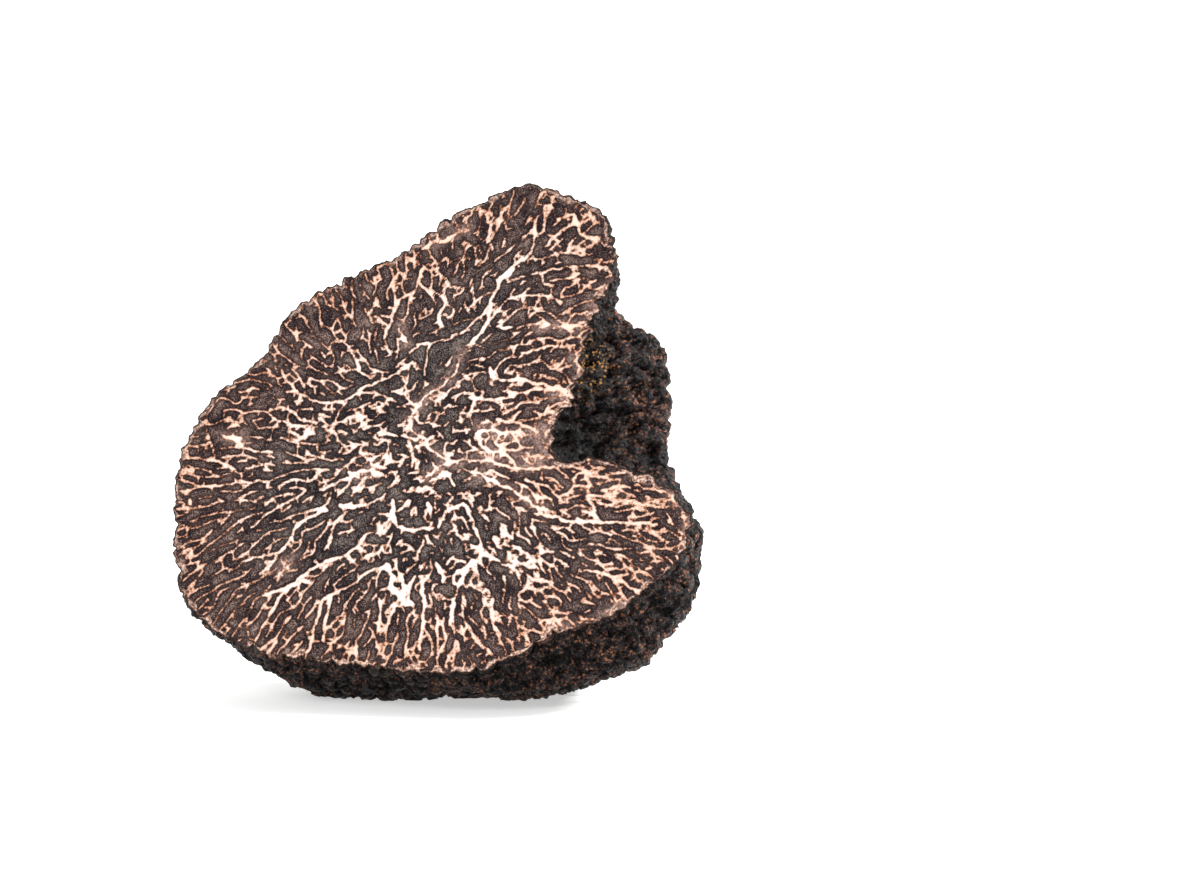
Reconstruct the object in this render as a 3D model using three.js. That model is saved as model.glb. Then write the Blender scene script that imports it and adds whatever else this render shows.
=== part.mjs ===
// Half of a black truffle: one lumpy fruit body, sliced through with a knife.
// It lies on a small flat spot of its rind, with the cut face leaning back.
// Millimetres, +Z up. The origin is under the middle of the bounding box, on the surface it rests on.
import * as THREE from "three";

// How the cut face stands: it leans back from upright and is turned a little to the left.
const LEAN = THREE.MathUtils.degToRad(25);
const TURN = THREE.MathUtils.degToRad(11);

// The point of the cut that the fruit body grew round, and its height above the flat spot.
const CENTRE_Z = 23.4;

// Depth of the half behind the cut, the depth at which its rind stands furthest out,
// and the exponent of the round-over from its side to its back: 2 is a half ellipse.
const DEPTH = 27;
const BELLY_DEPTH = 9;
const ROUND_OVER = 2.5;

// The ellipse that the sections turn into towards the back, in the plane of the cut,
// how much of it they take on, and how far the back hangs down.
const BACK = { u: -2, v: 1, radiusU: 24, radiusV: 20, startAngle: -6, share: 0.9 };
const DROOP = 3.5;

// The cut edge seen from the front, anticlockwise from the tip of the lower right lobe.
// Each row is x to the right and z up from the centre, then how far the rind has moved
// right and up at the belly, where the cleft closes and the lobe behind it shows.
const CUT_EDGE = [
  [24.7, -2.2, 0.7, 0.0],
  [23.8, 0.2, 1.2, 0.1],
  [21.8, 2.2, 2.6, 0.0],
  [18.8, 3.3, 5.0, 0.8],
  [15.8, 4.3, 7.2, 1.6],
  [13.4, 4.9, 9.0, 2.9],
  [11.4, 4.3, 10.6, 5.3],
  [9.9, 4.7, 11.9, 6.7],
  [9.3, 6.8, 12.4, 6.6],
  [10.3, 8.7, 11.6, 6.7],
  [11.5, 10.9, 10.4, 6.5],
  [12.8, 13.0, 9.0, 6.4],
  [12.6, 15.4, 8.8, 6.0],
  [13.4, 18.2, 6.4, 4.2],
  [14.1, 20.6, 3.6, 3.0],
  [15.2, 23.0, 0.4, 1.4],
  [16.5, 25.6, -1.2, 0.4],
  [15.9, 29.2, -1.4, 0.0],
  [14.8, 32.2, -0.8, 0.0],
  [11.6, 33.8, 0.0, 0.0],
  [7.2, 35.4, 0.0, 0.0],
  [2.5, 34.4, 0.0, 0.0],
  [-2.8, 31.6, 0.0, 0.0],
  [-7.5, 28.2, 0.0, 0.0],
  [-12.8, 25.4, 0.0, 0.0],
  [-18.6, 22.8, 0.0, 0.0],
  [-21.8, 20.0, 0.0, 0.0],
  [-25.2, 14.7, 0.0, 0.0],
  [-29.4, 11.4, 0.0, 0.0],
  [-32.8, 6.5, 0.0, 0.0],
  [-34.0, 0.8, 0.0, 0.0],
  [-33.7, -6.4, 0.0, 0.0],
  [-32.2, -11.5, 0.0, 0.0],
  [-28.6, -14.6, 0.0, 0.0],
  [-23.7, -16.8, 0.0, -0.5],
  [-19.0, -17.4, 0.0, -0.8],
  [-12.5, -18.0, 0.0, -0.5],
  [-5.5, -18.4, 0.0, -0.5],
  [0.5, -18.2, 0.5, -0.8],
  [4.5, -16.8, 1.0, -1.6],
  [9.8, -14.1, 1.8, -3.0],
  [15.5, -12.3, 2.4, -2.8],
  [19.6, -9.2, 2.4, -2.0],
  [23.4, -6.0, 1.4, -0.8],
];

// Swellings (+) and dents (-) of the rind: place in the plane of the cut, depth behind it,
// height and reach. The dents between the lobes make one furrow that runs on from the cleft.
const LUMPS = [
  { u: -15, v: 13, depth: 20, height: 3.4, reach: 9 },
  { u: 5, v: 21, depth: 20, height: 2.6, reach: 8 },
  { u: 9, v: -9, depth: 26, height: 3.4, reach: 8 },
  { u: -17, v: -11, depth: 18, height: 3.0, reach: 8.5 },
  { u: -4, v: -10, depth: 27, height: 1.8, reach: 6 },
  { u: 14, v: 9, depth: 5, height: -2.5, reach: 4 },
  { u: 22, v: 7, depth: 13, height: -1.8, reach: 4.5 },
  { u: 17, v: 5, depth: 20, height: -2.6, reach: 4.5 },
  { u: 11, v: 4, depth: 25, height: -3.0, reach: 4.5 },
  { u: 4, v: 5, depth: 28, height: -3.0, reach: 4.5 },
  { u: -3, v: 4, depth: 29, height: -3.0, reach: 4.5 },
  { u: -10, v: 0, depth: 27, height: -2.6, reach: 4.5 },
  { u: -17, v: 0, depth: 23, height: -2.2, reach: 4.5 },
  { u: -1, v: -21, depth: 11, height: -1.2, reach: 4.5 },
];

// Lumps push away from a core this deep behind the cut. They fade in over the first
// millimetres behind it, so that the cut edge keeps its outline.
const CORE_DEPTH = 8;
const LUMP_FADE = 6;

// Facets round the cut edge, rings from it to the back, and steps per point of the outline.
const FACETS = 112;
const RINGS = 22;
const STEPS_PER_POINT = 40;

// Axes of the cut: its outward normal, then right and up along it.
const normal = new THREE.Vector3(
  -Math.sin(TURN) * Math.cos(LEAN),
  -Math.cos(TURN) * Math.cos(LEAN),
  Math.sin(LEAN),
);
const right = new THREE.Vector3(Math.cos(TURN), -Math.sin(TURN), 0);
const up = new THREE.Vector3().crossVectors(normal, right);
const centre = new THREE.Vector3(0, 0, CENTRE_Z);

// A closed smooth curve through points given as x and z from the front.
function frontCurve(points) {
  const places = points.map(([x, z]) => new THREE.Vector3(x, 0, z));
  const curve = new THREE.CatmullRomCurve3(places, true, "catmullrom", 0.5);
  curve.arcLengthDivisions = points.length * STEPS_PER_POINT;
  return curve;
}

const cutCurve = frontCurve(CUT_EDGE);
const bellyCurve = frontCurve(CUT_EDGE.map(([x, z, outX, outZ]) => [x + outX, z + outZ]));

// Where a point seen from the front lies on the leaning plane of the cut.
function onCut(seen) {
  const y = -(normal.x * seen.x + normal.z * seen.z) / normal.y;
  const place = new THREE.Vector3(seen.x, y, seen.z);
  return new THREE.Vector2(place.dot(right), place.dot(up));
}

// Eases from 0 to 1 as x goes from 0 to 1.
function ease(x) {
  return THREE.MathUtils.smoothstep(x, 0, 1);
}

// Moves a point of the rind out or in by the lumps near it.
function withLumps(place) {
  const outward = place.clone();
  outward.z -= CORE_DEPTH;
  outward.normalize();
  let move = 0;
  for (const lump of LUMPS) {
    const away = place.distanceTo(new THREE.Vector3(lump.u, lump.v, lump.depth));
    move += lump.height * Math.exp(-((away / lump.reach) ** 2));
  }
  return place.addScaledVector(outward, move * ease(place.z / LUMP_FADE));
}

// A point of the rind: share runs round the cut edge, and roll from 0 at the cut to 1 at the back.
// The section is the cut edge at first, then the belly outline, then the ellipse of the back.
function rindPoint(share, roll) {
  const angle = (roll * Math.PI) / 2;
  const scale = Math.cos(angle) ** (2 / ROUND_OVER);
  const deep = Math.sin(angle) ** (2 / ROUND_OVER);
  const t = cutCurve.getUtoTmapping(share);
  const depth = DEPTH * deep;
  const section = onCut(cutCurve.getPoint(t));
  section.lerp(onCut(bellyCurve.getPoint(t)), ease(depth / BELLY_DEPTH));
  const round = THREE.MathUtils.degToRad(BACK.startAngle) + 2 * Math.PI * share;
  const ellipse = new THREE.Vector2(
    BACK.u + BACK.radiusU * Math.cos(round),
    BACK.v + BACK.radiusV * Math.sin(round),
  );
  section.lerp(ellipse, BACK.share * ease(deep) ** 2).multiplyScalar(scale);
  return withLumps(new THREE.Vector3(section.x, section.y - DROOP * deep ** 2, depth));
}

// The same point in the part's frame. What would reach under the surface is flat on it.
function inFrame(place) {
  const point = centre.clone();
  point.addScaledVector(right, place.x);
  point.addScaledVector(up, place.y);
  point.addScaledVector(normal, -place.z);
  point.z = Math.max(point.z, 0);
  return point;
}

// One closed surface: a fan for the flat cut face, bands of rind, and a fan at the back.
// Each quad of a band is split along its shorter diagonal, which keeps the twisted ones even.
function truffleGeometry() {
  const points = [centre.clone()];
  for (let ring = 0; ring < RINGS; ring++) {
    for (let facet = 0; facet < FACETS; facet++) {
      points.push(inFrame(rindPoint(facet / FACETS, ring / RINGS)));
    }
  }
  points.push(inFrame(rindPoint(0, 1)));

  const faces = [];
  const at = (ring, facet) => 1 + ring * FACETS + (facet % FACETS);
  const back = points.length - 1;
  for (let facet = 0; facet < FACETS; facet++) {
    faces.push(0, at(0, facet), at(0, facet + 1));
    for (let ring = 0; ring < RINGS - 1; ring++) {
      const [a, b] = [at(ring, facet), at(ring, facet + 1)];
      const [c, d] = [at(ring + 1, facet), at(ring + 1, facet + 1)];
      const alongAD = points[a].distanceTo(points[d]) < points[b].distanceTo(points[c]);
      faces.push(...(alongAD ? [a, c, d, a, d, b] : [a, c, b, b, c, d]));
    }
    faces.push(at(RINGS - 1, facet), back, at(RINGS - 1, facet + 1));
  }

  const geometry = new THREE.BufferGeometry().setFromPoints(points).setIndex(faces);
  geometry.computeVertexNormals();
  geometry.computeBoundingBox();
  const middle = geometry.boundingBox.getCenter(new THREE.Vector3());
  return geometry.translate(-middle.x, -middle.y, 0);
}

// Dark, dry rind and flesh: the marbling of the cut is a matter of finish.
function truffleMaterial() {
  return new THREE.MeshStandardMaterial({ color: 0x2c2322, roughness: 0.75, metalness: 0 });
}

const truffle = new THREE.Mesh(truffleGeometry(), truffleMaterial());
truffle.name = "truffle_half";

const part = new THREE.Group();
part.add(truffle);

export default part;
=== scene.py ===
import math

import bpy
import numpy as np
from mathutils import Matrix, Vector


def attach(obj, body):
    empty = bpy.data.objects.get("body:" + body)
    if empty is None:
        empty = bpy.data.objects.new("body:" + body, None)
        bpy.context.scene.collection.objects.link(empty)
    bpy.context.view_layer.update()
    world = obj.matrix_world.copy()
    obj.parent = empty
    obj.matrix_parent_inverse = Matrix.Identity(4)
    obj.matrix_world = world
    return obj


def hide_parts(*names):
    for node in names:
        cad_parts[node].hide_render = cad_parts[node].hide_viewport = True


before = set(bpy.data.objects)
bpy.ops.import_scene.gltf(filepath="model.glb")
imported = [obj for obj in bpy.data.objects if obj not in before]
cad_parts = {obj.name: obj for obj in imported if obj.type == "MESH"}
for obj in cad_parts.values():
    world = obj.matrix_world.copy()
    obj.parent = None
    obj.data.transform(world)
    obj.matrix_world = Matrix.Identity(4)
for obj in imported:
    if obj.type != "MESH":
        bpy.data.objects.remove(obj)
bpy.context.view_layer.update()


# Form of the truffle half
# One fruit body, grown in lobes and sliced once with a knife. The cut face leans back and the
# half lies on the underside of its rind. All lengths here are millimetres.

LEAN = math.radians(25)
TURN = math.radians(11)
CENTRE = np.array((3.983, -9.999, 23.4))   # the point of the cut that the body grew round
RIGHT = np.array((math.cos(TURN), -math.sin(TURN), 0.0))
NORMAL = np.array((-math.sin(TURN) * math.cos(LEAN), -math.cos(TURN) * math.cos(LEAN), math.sin(LEAN)))
UP = np.cross(NORMAL, RIGHT)

# The cut edge seen from the front, anticlockwise from the tip of the lower right lobe: x and z
# from the centre, then how far the rind has moved right and up at its belly, behind the cleft.
CUT_EDGE = np.array([
    (24.7, -2.2, 0.7, 0.0), (23.8, 0.2, 1.2, 0.1), (21.8, 2.2, 2.6, 0.0), (18.8, 3.3, 5.0, 0.8),
    (15.8, 4.3, 7.2, 1.6), (13.4, 4.9, 9.0, 2.9), (11.4, 4.3, 10.6, 5.3), (9.9, 4.7, 11.9, 6.7),
    (9.3, 6.8, 12.4, 6.6), (10.3, 8.7, 11.6, 6.7), (11.5, 10.9, 10.4, 6.5), (12.8, 13.0, 9.0, 6.4),
    (12.6, 15.4, 8.8, 6.0), (13.4, 18.2, 6.4, 4.2), (14.1, 20.6, 3.6, 3.0), (15.2, 23.0, 0.4, 1.4),
    (16.5, 25.6, -1.2, 0.4), (15.9, 29.2, -1.4, 0.0), (14.8, 32.2, -0.8, 0.0), (11.6, 33.8, 0.0, 0.0),
    (7.2, 35.4, 0.0, 0.0), (2.5, 34.4, 0.0, 0.0), (-2.8, 31.6, 0.0, 0.0), (-7.5, 28.2, 0.0, 0.0),
    (-12.8, 25.4, 0.0, 0.0), (-18.6, 22.8, 0.0, 0.0), (-21.8, 20.0, 0.0, 0.0), (-25.2, 14.7, 0.0, 0.0),
    (-29.4, 11.4, 0.0, 0.0), (-32.8, 6.5, 0.0, 0.0), (-34.0, 0.8, 0.0, 0.0), (-33.7, -6.4, 0.0, 0.0),
    (-32.2, -11.5, 0.0, 0.0), (-28.6, -14.6, 0.0, 0.0), (-23.7, -16.8, 0.0, -0.5),
    (-19.0, -17.4, 0.0, -0.8), (-12.5, -18.0, 0.0, -0.5), (-5.5, -18.4, 0.0, -0.5),
    (0.5, -18.2, 0.5, -0.8), (4.5, -16.8, 1.0, -1.6), (9.8, -14.1, 1.8, -3.0), (15.5, -12.3, 2.4, -2.8),
    (19.6, -9.2, 2.4, -2.0), (23.4, -6.0, 1.4, -0.8),
])

# Depth of the half behind the cut, the depth at which its rind stands furthest out, the exponent
# of the round-over from side to back, and how far the back hangs down.
DEPTH = 27.0
BELLY_DEPTH = 9.0
ROUND_OVER = 2.5
DROOP = 3.5

# The ellipse that the sections turn into towards the back, and how much of it they take on.
BACK_MIDDLE = (-2.0, 1.0)
BACK_RADII = (24.0, 20.0)
BACK_START = math.radians(-6)
BACK_SHARE = 0.9

# Lumps push away from a core this deep behind the cut, and fade in over the first millimetres.
CORE_DEPTH = 8.0
LUMP_FADE = 6.0

# Swellings (+) and dents (-) of the rind: u, v, depth behind the cut, height, reach.
LUMPS = [
    (-15.0, 13.0, 20.0, 3.4, 9.0), (5.0, 21.0, 20.0, 2.6, 8.0), (9.0, -9.0, 26.0, 3.4, 8.0),
    (-17.0, -11.0, 18.0, 3.0, 8.5), (-4.0, -10.0, 27.0, 1.8, 6.0), (14.0, 9.0, 5.0, -2.5, 4.0),
    (22.0, 7.0, 13.0, -1.8, 4.5), (17.0, 5.0, 20.0, -2.6, 4.5), (11.0, 4.0, 25.0, -3.0, 4.5),
    (4.0, 5.0, 28.0, -3.0, 4.5), (-3.0, 4.0, 29.0, -3.0, 4.5), (-10.0, 0.0, 27.0, -2.6, 4.5),
    (-17.0, 0.0, 23.0, -2.2, 4.5), (-1.0, -21.0, 11.0, -1.2, 4.5),
]

# Cells along a side of each of the two square grids, the cut face and the rind, and the turn of
# the grids that brings the cleft to the middle of a side of the square.
CELLS = 222
START_SHARE = 0.11


def ease(x):
    """Goes from 0 to 1 as x does, level at both ends: 3 x squared less 2 x cubed."""
    x = np.clip(x, 0.0, 1.0)
    return x * x * (3 - 2 * x)


def closed_curve(points, steps=40):
    """Catmull-Rom curve through all points and back: a cubic in each step from one to the next."""
    before, start, end, after = (np.roll(points, 1 - k, axis=0)[:, None, :] for k in range(4))
    t = (np.arange(steps) / steps)[None, :, None]
    curve = start + 0.5 * ((end - before) * t
                           + (2 * before - 5 * start + 4 * end - after) * t ** 2
                           + (3 * start - before - 3 * end + after) * t ** 3)
    return curve.reshape(-1, points.shape[1])


def on_cut(x, z):
    """The point of the leaning cut plane that shows at x, z from the front, as u, v in the plane."""
    y = -(NORMAL[0] * x + NORMAL[2] * z) / NORMAL[1]
    place = np.stack([x, y, z], axis=-1)
    return np.stack([place @ RIGHT, place @ UP], axis=-1)


EDGE_CURVE = closed_curve(CUT_EDGE)
EDGE_CURVE = np.vstack([EDGE_CURVE, EDGE_CURVE[:1]])
EDGE_SHARE = np.concatenate([[0], np.cumsum(np.hypot(*np.diff(EDGE_CURVE[:, :2], axis=0).T))])
EDGE_SHARE /= EDGE_SHARE[-1]


def outline(share):
    """The cut edge and the belly outline at a share of the edge's length, both as u, v."""
    x, z, out_x, out_z = (np.interp(np.mod(share, 1.0), EDGE_SHARE, column) for column in EDGE_CURVE.T)
    return on_cut(x, z), on_cut(x + out_x, z + out_z)


def rind_surface(rho, share):
    """u, v and depth of the rind: rho runs from 1 at the cut edge to 0 at the back.

    The section is the cut edge, then the belly outline, then the ellipse of the back. It shrinks
    as a power of a cosine while its depth grows as a power of a sine, and lumps push it out.
    """
    angle = (1 - rho) * math.pi / 2
    scale = np.cos(angle) ** (2 / ROUND_OVER)
    deep = np.sin(angle) ** (2 / ROUND_OVER)
    cut, belly = outline(share)
    blend = ease(DEPTH * deep / BELLY_DEPTH)[..., None]
    side = cut * (1 - blend) + belly * blend
    turn = BACK_START + 2 * math.pi * share
    back = BACK_MIDDLE + np.stack([BACK_RADII[0] * np.cos(turn), BACK_RADII[1] * np.sin(turn)], -1)
    blend = BACK_SHARE * ease(deep)[..., None] ** 2
    section = (side * (1 - blend) + back * blend) * scale[..., None]
    section[..., 1] -= DROOP * deep ** 2
    place = np.concatenate([section, (DEPTH * deep)[..., None]], axis=-1)
    outward = place - (0.0, 0.0, CORE_DEPTH)
    outward /= np.linalg.norm(outward, axis=-1, keepdims=True)
    push = sum(height * np.exp(-((place - (u, v, w)) ** 2).sum(-1) / reach ** 2)
               for u, v, w, height, reach in LUMPS)
    return place + outward * (push * ease(place[..., 2] / LUMP_FADE))[..., None]


def in_frame(place):
    """Turns u, v and depth into the part's x, y, z."""
    return CENTRE + place[..., 0:1] * RIGHT + place[..., 1:2] * UP - place[..., 2:3] * NORMAL


def disc_grid(cells):
    """A square grid mapped to a disc, with no cell lost at a pole.

    rho is the larger of the sizes of a and b, and the share of a full turn grows evenly along
    each side of the square.
    """
    a, b = np.meshgrid(np.linspace(-1, 1, cells + 1), np.linspace(-1, 1, cells + 1), indexing="ij")
    rho = np.maximum(abs(a), abs(b))
    safe = np.where(rho == 0, 1.0, rho)
    side = np.select([a >= abs(b), b >= abs(a), -a >= abs(b)],
                     [b / safe, 2 - a / safe, 4 - b / safe], 6 + a / safe)
    return rho, np.mod(side / 8 + START_SHARE, 1.0)


def value_noise(places, size, seed):
    """Smooth random values from -1 to 1 on a lattice of the given size, in three dimensions."""
    table = np.random.RandomState(seed).uniform(-1, 1, (32, 32, 32))
    steps = places / size + 500.0
    low = np.floor(steps).astype(int)
    part = steps - low
    part = part * part * (3 - 2 * part)
    total = 0.0
    for corner in np.ndindex(2, 2, 2):
        cell = (low + corner) % 32
        weight = np.prod(np.where(corner, part, 1 - part), axis=-1)
        total = total + table[cell[..., 0], cell[..., 1], cell[..., 2]] * weight
    return total


def layered_noise(places, size, seed, layers=3):
    """Value noise with each further layer half as large and 0.55 times as strong."""
    return sum(0.55 ** k * value_noise(places, size / 2 ** k, seed + k) for k in range(layers))


# Rind: polygonal warts
# The skin of a black truffle is a crust of low pyramids 1.5 to 2 mm across, with narrow cracks
# between them. The knife went through them, which gives the cut edge its scallops.

# Range of the spacing of the wart tips, and how far the cracks between them wander.
WART_SIZE = (1.05, 2.1)
CRACK_WANDER = 0.42

# Depth, half width and sharpness of the cracks, slope of the pyramids and the distance from a
# crack at which they level out, and how much they differ in height and lean.
CRACK_DEPTH = 0.45
CRACK_REACH = 0.42
CRACK_SHARPNESS = 1.6
PYRAMID_SLOPE = 0.42
PYRAMID_TOP = 0.85
WART_UNEVEN = 0.14
WART_LEAN = 0.34

# Height and size of the pits, grit, slow swells and torn chips, and the lift of the whole crust.
PITS = (0.34, 0.9)
GRIT = (0.08, 0.4)
SWELLS = (0.18, 5.0)
CHIPS = (0.27, 0.62)
RIPS = (1.7, 1.9)
LIFT = 0.08

# Where the blade ripped the rind, seen from the front: to the right of an x, between two z.
RIPPED_X = 7.0
RIPPED_Z = (4.0, 32.0)
RIP_FADE = 3.0

# Mean radius of the body, and how the rings of the rind are spread: evenly, and more at the cut.
BODY_RADIUS = 30.0
EVEN_SPREAD = 0.68
CUT_SPREAD = 0.32


def even_rings(rho):
    """Moves the rings of the rind grid so that they lie evenly along its section, closer at the cut.

    The section is a superellipse. Its length is summed up in small steps and read backwards.
    """
    angle = np.linspace(0, math.pi / 2, 4000)
    section = np.stack([BODY_RADIUS * np.cos(angle) ** (2 / ROUND_OVER),
                        DEPTH * np.sin(angle) ** (2 / ROUND_OVER)])
    run = np.concatenate([[0], np.cumsum(np.hypot(*np.diff(section)))])
    wanted = EVEN_SPREAD * (1 - rho) + CUT_SPREAD * (1 - rho) ** 2
    return 1 - np.interp(wanted * run[-1], run, angle) / (math.pi / 2)


rho, share = disc_grid(CELLS)
rind = rind_surface(even_rings(rho), share)
rind_xyz = in_frame(rind)
rind_xyz[..., 2] = np.maximum(rind_xyz[..., 2], 0.0)
along_i, along_j = np.gradient(rind_xyz, axis=0), np.gradient(rind_xyz, axis=1)
rind_normal = np.cross(along_i, along_j)
rind_normal /= np.linalg.norm(rind_normal, axis=-1, keepdims=True) + 1e-12
body_middle = rind_xyz.reshape(-1, 3).mean(axis=0)
if ((rind_xyz - body_middle) * rind_normal).sum() < 0:
    rind_normal = -rind_normal

# Wart tips: points of the rind in random order. Each one that is kept rules out those within its
# own spacing.
points = rind_xyz.reshape(-1, 3)
sideways = np.stack([layered_noise(points, 1.2, seed, 3) for seed in (11, 14, 17)], -1)
warped = points + CRACK_WANDER * sideways
rng = np.random.RandomState(7)
picks = rng.choice(len(points), 14000, replace=False)
spacing = rng.uniform(*WART_SIZE, len(picks))
free = np.ones(len(picks), bool)
seeds = []
for k in range(len(picks)):
    if free[k]:
        seeds.append(picks[k])
        free &= ((points[picks] - points[picks[k]]) ** 2).sum(-1) > spacing[k] ** 2
tips = points[seeds]


def nearest_tips(places):
    """Distance to the wall between the two nearest wart tips, and which tip is the nearest.

    It is the difference of the squared distances to the two tips over twice the tips' distance.
    """
    walls, owners = [], []
    for chunk in np.array_split(places, 40):
        square = (chunk ** 2).sum(-1)[:, None] + (tips ** 2).sum(-1) - 2 * chunk @ tips.T
        two = np.argpartition(square, 2, axis=1)[:, :2]
        near = np.take_along_axis(square, two, axis=1)
        swap = near[:, 0] > near[:, 1]
        two[swap] = two[swap][:, ::-1]
        near = np.sort(near, axis=1)
        apart = np.linalg.norm(tips[two[:, 0]] - tips[two[:, 1]], axis=-1)
        walls.append((near[:, 1] - near[:, 0]) / (2 * apart))
        owners.append(two[:, 0])
    return np.concatenate(walls), np.concatenate(owners)


wall, owner = nearest_tips(warped)
wart_height = rng.uniform(-1, 1, len(tips))[owner]
wart_lean = (rng.uniform(-WART_LEAN, WART_LEAN, tips.shape)[owner] * (points - tips[owner])).sum(-1)
rise = (-CRACK_DEPTH * (1 - np.clip(wall / CRACK_REACH, 0, 1)) ** CRACK_SHARPNESS
        + PYRAMID_SLOPE * (np.minimum(wall, PYRAMID_TOP) - 0.5)
        + WART_UNEVEN * wart_height + wart_lean
        - PITS[0] * np.abs(layered_noise(points, PITS[1], 31, 2))
        + GRIT[0] * value_noise(points, GRIT[1], 37) + LIFT
        + SWELLS[0] * layered_noise(points, SWELLS[1], 41, 2)).reshape(rho.shape)
move = rind_normal * rise[..., None]

# On the cut edge the warts are sliced away in part, and the blade left chips and rips. That edge
# stays in the plane of the cut, and the rind stays behind it and above the table.
on_edge = rho == 1
calm = np.clip(0.28 + 0.5 * layered_noise(points, 3.0, 47, 2), 0.1, 0.8)
chips = CHIPS[0] * layered_noise(points, CHIPS[1], 53, 2)
seen = points[:, (0, 2)] - CENTRE[[0, 2]]
ripped = (ease((seen[:, 0] - RIPPED_X) / RIP_FADE) * ease((seen[:, 1] - RIPPED_Z[0]) / RIP_FADE)
          * ease((RIPPED_Z[1] - seen[:, 1]) / RIP_FADE))
chips -= RIPS[0] * ripped * np.abs(layered_noise(points, RIPS[1], 59, 2)) - 0.35 * ripped
edge_rise = (calm * rise.reshape(-1) + chips).reshape(rho.shape)
move = np.where(on_edge[..., None], rind_normal * edge_rise[..., None], move)
move[on_edge] -= (move[on_edge] @ NORMAL)[:, None] * NORMAL
rind_out = rind_xyz + move
rind_out[..., 2] = np.maximum(rind_out[..., 2], 0.0)
behind = (rind_out - CENTRE) @ -NORMAL
too_near = np.where(on_edge, 0.0, 0.02) - behind
rind_out -= np.maximum(too_near, 0.0)[..., None] * NORMAL


# Cut face
# Where the knife passed through the fruit body: flat, firm flesh. Its grid is evened out, so that
# the marbling is as fine in the cleft and along the edge as in the middle.

GRID_MIDDLE = np.array((-4.0, 2.2))   # where the grid starts out from, in the plane of the cut


def even_grid(cells, levels=(24, 74), rounds=(500, 300, 60)):
    """A grid over the cut face with cells of about one size and none folded over in the cleft.

    It starts as straight spokes and is relaxed, coarse grid first. Each point moves to the mean
    of its four neighbours, weighted by how far away they are, mixed with the elliptic grid rule
    a (east + west) + c (north + south) - b (cross), divided by 2 (a + c), that keeps lines apart.
    """
    grid = None
    for size, count in zip((*levels, cells), rounds):
        radius, turn = disc_grid(size)
        edge = outline(turn)[0]
        if grid is None:
            new = GRID_MIDDLE + (edge - GRID_MIDDLE) * radius[..., None]
        else:
            old, steps = np.linspace(0, 1, len(grid)), np.linspace(0, 1, size + 1)
            wider = [np.array([np.interp(steps, old, row) for row in grid[..., k]]) for k in range(2)]
            taller = [np.array([np.interp(steps, old, row) for row in part.T]).T for part in wider]
            new = np.stack(taller, -1)
            new[radius == 1] = edge[radius == 1]
        for _ in range(count):
            here = new[1:-1, 1:-1]
            east, west, north, south = new[2:, 1:-1], new[:-2, 1:-1], new[1:-1, 2:], new[1:-1, :-2]
            across, along = (east - west) / 2, (north - south) / 2
            a = (along ** 2).sum(-1, keepdims=True)
            b = (across * along).sum(-1, keepdims=True)
            c = (across ** 2).sum(-1, keepdims=True)
            corners = new[2:, 2:] - new[2:, :-2] - new[:-2, 2:] + new[:-2, :-2]
            elliptic = (a * (east + west) + c * (north + south) - 0.5 * b * corners) / (2 * (a + c) + 1e-9)
            weights = [np.linalg.norm(near - here, axis=-1, keepdims=True) + 1e-9
                       for near in (east, west, north, south)]
            mean = sum(w * near for w, near in zip(weights, (east, west, north, south))) / sum(weights)
            new[1:-1, 1:-1] = 0.5 * here + 0.5 * (0.85 * elliptic + 0.15 * mean)
        grid = new
    return grid


# The rim of the grid takes on the scallops of the rind's edge, fading within a few cells.
cut = even_grid(CELLS)
edge_move = np.stack([move[on_edge] @ RIGHT, move[on_edge] @ UP], -1)
order = np.argsort(share[on_edge])
edge_share = np.concatenate([share[on_edge][order], [1.0]])
edge_move = np.vstack([edge_move[order], edge_move[order][:1]])
follow = np.stack([np.interp(share, edge_share, edge_move[:, k]) for k in range(2)], -1)
cut = cut + follow * (rho ** 40)[..., None]
cut_xyz = in_frame(np.concatenate([cut, np.zeros(cut.shape[:2] + (1,))], -1))
cut_xyz[on_edge] = rind_out[on_edge]


# Veins of the cut face
# Sterile tissue, paler and a little firmer than the dark spore-bearing flesh. The veins run out
# from the middle to the rind, branch, and end blind. All places are x, z seen from the front.

# The map that the veins are drawn on: its step, lower left corner and upper right corner.
VEIN_STEP = 0.1
MAP_CORNER = np.array((-36.5, -20.5))
MAP_END = (28.0, 37.5)
map_places = np.stack(np.meshgrid(np.arange(MAP_CORNER[0], MAP_END[0], VEIN_STEP),
                                  np.arange(MAP_CORNER[1], MAP_END[1], VEIN_STEP)), -1)

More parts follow.
